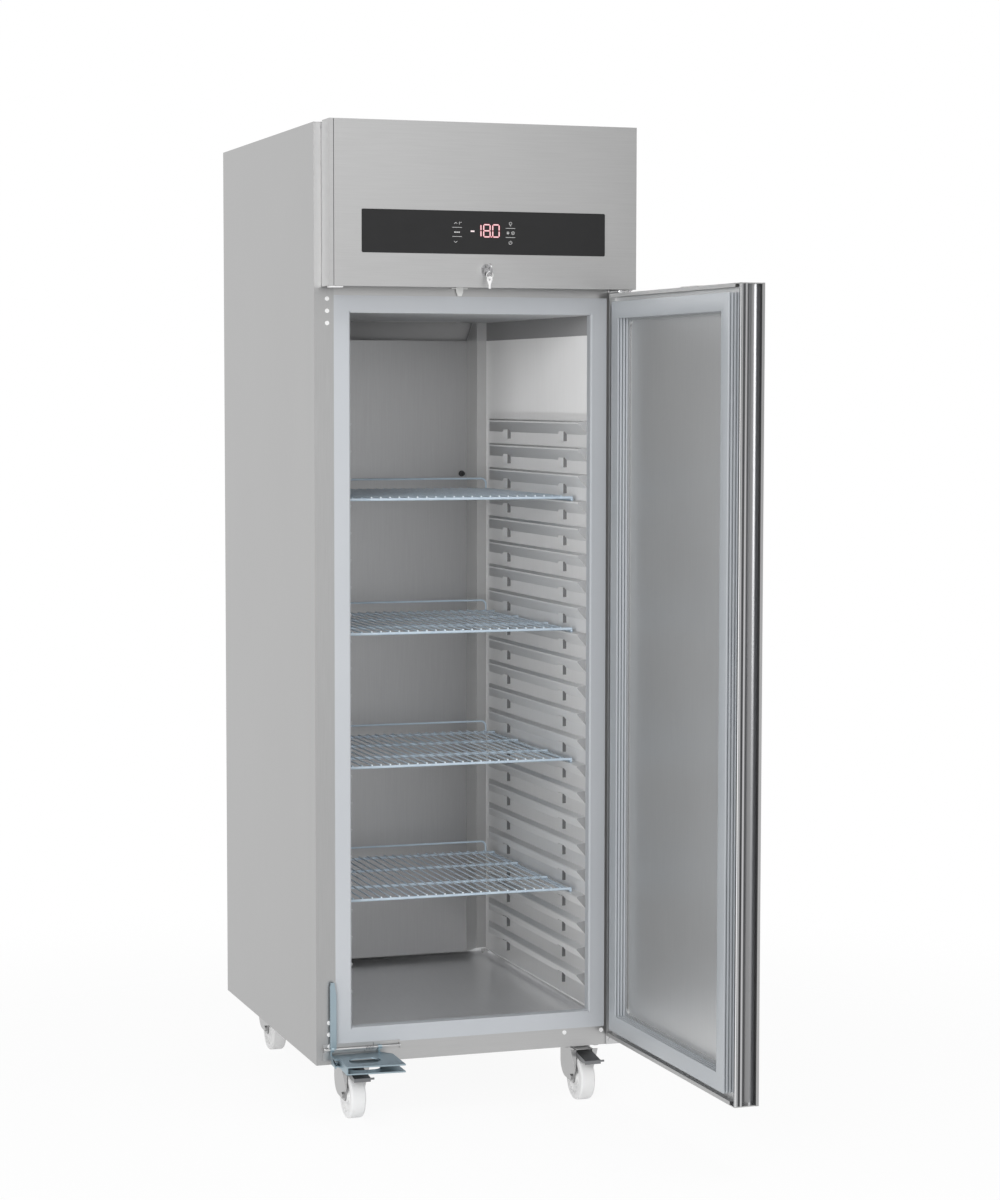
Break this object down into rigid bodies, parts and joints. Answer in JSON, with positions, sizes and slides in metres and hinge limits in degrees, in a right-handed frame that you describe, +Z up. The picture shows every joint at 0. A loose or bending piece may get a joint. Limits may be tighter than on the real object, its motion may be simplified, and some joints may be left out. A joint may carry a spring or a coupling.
{
  "type": "upright storage freezer",
  "caption": "Upright stainless steel storage freezer on castors, with a hinged door, wire shelves on pressed rails, a lift-up control fascia and a foot pedal.",
  "frame": {"origin": "centre of the object's outer box at floor level, with the door open as at rest", "axes": "+Z up; -Y is the front, where the door opens; +X is the door's hinge side"},
  "size_m": [0.7106, 1.542, 2.1157],
  "materials": {
    "stainless_skin": "vertical brushed grain",
    "zinc_coated_steel": "matt zinc coat",
    "liner_steel": "fine brushed grain",
    "insulating_foam": "closed-cell foam",
    "frame_profile": "extruded plastic",
    "gasket_vinyl": "soft vinyl",
    "white_nylon": "moulded",
    "black_plastic": "moulded",
    "black_enamel": "baked enamel",
    "aluminium_fins": "thin sheet",
    "copper_tube": "drawn tube",
    "coated_wire": "plastic-coated steel wire",
    "bright_zinc": "bright zinc plate",
    "blue_zinc": "blue passivated zinc",
    "spring_steel": "drawn wire",
    "display_glass": "black printed glass",
    "nickel_plate": "plated"
  },
  "bodies": {
    "cabinet": {"side_panel_left": "stainless_skin", "side_panel_right": "stainless_skin", "back_panel": "zinc_coated_steel", "base_tray": "stainless_skin", "machine_deck": "stainless_skin", "machine_cover": "zinc_coated_steel", "insulation": "insulating_foam", "inner_liner": "liner_steel", "liner_floor": "liner_steel", "front_frame": "frame_profile", "hole_plugs": "white_nylon", "shelf_rails_left": "liner_steel", "shelf_rails_right": "liner_steel", "duct_panel": "liner_steel", "temperature_sensor": "black_plastic", "evaporator": "aluminium_fins", "evaporator_cover": "white_nylon", "fan_motors": "black_enamel", "compressor": "black_enamel", "condenser": "aluminium_fins", "refrigerant_pipes": "copper_tube", "cable_gland": "black_plastic", "door_hinges": "bright_zinc", "fascia_hinges": "zinc_coated_steel", "switch_housing": "white_nylon", "pedal_bracket": "bright_zinc", "pedal_spring": "spring_steel", "castor_plates": "bright_zinc"},
    "door": {"door_skin": "stainless_skin", "door_inner_panel": "liner_steel", "door_foam": "insulating_foam", "door_gasket": "gasket_vinyl", "door_grip": "frame_profile", "door_end_caps": "stainless_skin", "door_catch": "white_nylon"},
    "fascia": {"fascia_panel": "stainless_skin", "display_glass": "display_glass", "control_box": "black_plastic", "lock_housing": "nickel_plate"},
    "lock": {"lock_barrel": "nickel_plate", "key": "nickel_plate"},
    "spare_key": {"spare_key": "white_nylon"},
    "rocker": {"switch_rocker": "white_nylon"},
    "pedal": {"pedal": "blue_zinc"},
    "evaporator_fan": {"evaporator_fan": "black_plastic"},
    "condenser_fan": {"condenser_fan": "black_plastic"},
    "shelf_1": {"shelf_1": "coated_wire"},
    "shelf_2": {"shelf_2": "coated_wire"},
    "shelf_3": {"shelf_3": "coated_wire"},
    "shelf_4": {"shelf_4": "coated_wire"},
    "fork_front_left": {"fork_front_left": "bright_zinc"},
    "wheel_front_left": {"wheel_front_left": "white_nylon"},
    "fork_front_right": {"fork_front_right": "bright_zinc"},
    "wheel_front_right": {"wheel_front_right": "white_nylon"},
    "fork_rear_left": {"fork_rear_left": "bright_zinc"},
    "wheel_rear_left": {"wheel_rear_left": "white_nylon"},
    "fork_rear_right": {"fork_rear_right": "bright_zinc"},
    "wheel_rear_right": {"wheel_rear_right": "white_nylon"},
    "brake_left": {"brake_left": "black_enamel"},
    "brake_right": {"brake_right": "black_enamel"}
  },
  "joints": [
    {"name": "door_hinge", "type": "hinge", "parent": "cabinet", "child": "door", "pos_m": [0.32471, -0.10696, 0.957], "axis": [0, 0, 1], "range_deg": [-91, 24]},
    {"name": "fascia_lift", "type": "hinge", "parent": "cabinet", "child": "fascia", "pos_m": [0.00041, -0.06896, 2.106], "axis": [-1, 0, 0], "range_deg": [0, 50]},
    {"name": "lock_turn", "type": "hinge", "parent": "fascia", "child": "lock", "pos_m": [0.00271, -0.12596, 1.8088], "axis": [0, 1, 0], "range_deg": [0, 90]},
    {"name": "spare_key_swing", "type": "hinge", "parent": "lock", "child": "spare_key", "pos_m": [0.00271, -0.14696, 1.8042], "axis": [0, 1, 0], "range_deg": [-20, 20]},
    {"name": "shelf_slide_1", "type": "slide", "parent": "cabinet", "child": "shelf_1", "axis": [0, -1, 0], "range_m": [0, 0.52]},
    {"name": "shelf_slide_2", "type": "slide", "parent": "cabinet", "child": "shelf_2", "axis": [0, -1, 0], "range_m": [0, 0.52]},
    {"name": "shelf_slide_3", "type": "slide", "parent": "cabinet", "child": "shelf_3", "axis": [0, -1, 0], "range_m": [0, 0.52]},
    {"name": "shelf_slide_4", "type": "slide", "parent": "cabinet", "child": "shelf_4", "axis": [0, -1, 0], "range_m": [0, 0.52]},
    {"name": "switch_rock", "type": "hinge", "parent": "cabinet", "child": "rocker", "pos_m": [-0.03829, -0.06796, 1.7871], "axis": [1, 0, 0], "range_deg": [0, 8], "stiffness_Nm_per_rad": 0.02, "springref_deg": -5.73},
    {"name": "pedal_press", "type": "hinge", "parent": "cabinet", "child": "pedal", "pos_m": [-0.26029, -0.06846, 0.157], "axis": [1, 0, 0], "range_deg": [0, 12], "stiffness_Nm_per_rad": 4, "springref_deg": -22.92},
    {"name": "swivel_front_left", "type": "hinge", "parent": "cabinet", "child": "fork_front_left", "pos_m": [-0.26829, -0.00096, 0.1147], "axis": [0, 0, 1], "continuous": true},
    {"name": "roll_front_left", "type": "hinge", "parent": "fork_front_left", "child": "wheel_front_left", "pos_m": [-0.26829, -0.03596, 0.05], "axis": [1, 0, 0], "continuous": true},
    {"name": "swivel_front_right", "type": "hinge", "parent": "cabinet", "child": "fork_front_right", "pos_m": [0.25271, -0.00096, 0.1147], "axis": [0, 0, 1], "continuous": true},
    {"name": "roll_front_right", "type": "hinge", "parent": "fork_front_right", "child": "wheel_front_right", "pos_m": [0.25271, -0.03596, 0.05], "axis": [1, 0, 0], "continuous": true},
    {"name": "swivel_rear_left", "type": "hinge", "parent": "cabinet", "child": "fork_rear_left", "pos_m": [-0.26829, 0.68004, 0.1147], "axis": [0, 0, 1], "continuous": true},
    {"name": "roll_rear_left", "type": "hinge", "parent": "fork_rear_left", "child": "wheel_rear_left", "pos_m": [-0.26829, 0.64504, 0.05], "axis": [1, 0, 0], "continuous": true},
    {"name": "swivel_rear_right", "type": "hinge", "parent": "cabinet", "child": "fork_rear_right", "pos_m": [0.25271, 0.68004, 0.1147], "axis": [0, 0, 1], "continuous": true},
    {"name": "roll_rear_right", "type": "hinge", "parent": "fork_rear_right", "child": "wheel_rear_right", "pos_m": [0.25271, 0.64504, 0.05], "axis": [1, 0, 0], "continuous": true},
    {"name": "brake_press_left", "type": "hinge", "parent": "fork_front_left", "child": "brake_left", "pos_m": [-0.26829, -0.05096, 0.1057], "axis": [1, 0, 0], "range_deg": [0, 10]},
    {"name": "brake_press_right", "type": "hinge", "parent": "fork_front_right", "child": "brake_right", "pos_m": [0.25271, -0.05096, 0.1057], "axis": [1, 0, 0], "range_deg": [0, 10]},
    {"name": "evaporator_fan_spin", "type": "hinge", "parent": "cabinet", "child": "evaporator_fan", "pos_m": [-0.00779, 0.41504, 1.7965], "axis": [0, 1, 0], "continuous": true},
    {"name": "condenser_fan_spin", "type": "hinge", "parent": "cabinet", "child": "condenser_fan", "pos_m": [-0.12029, 0.07104, 1.9052], "axis": [0, 1, 0], "continuous": true}
  ]
}
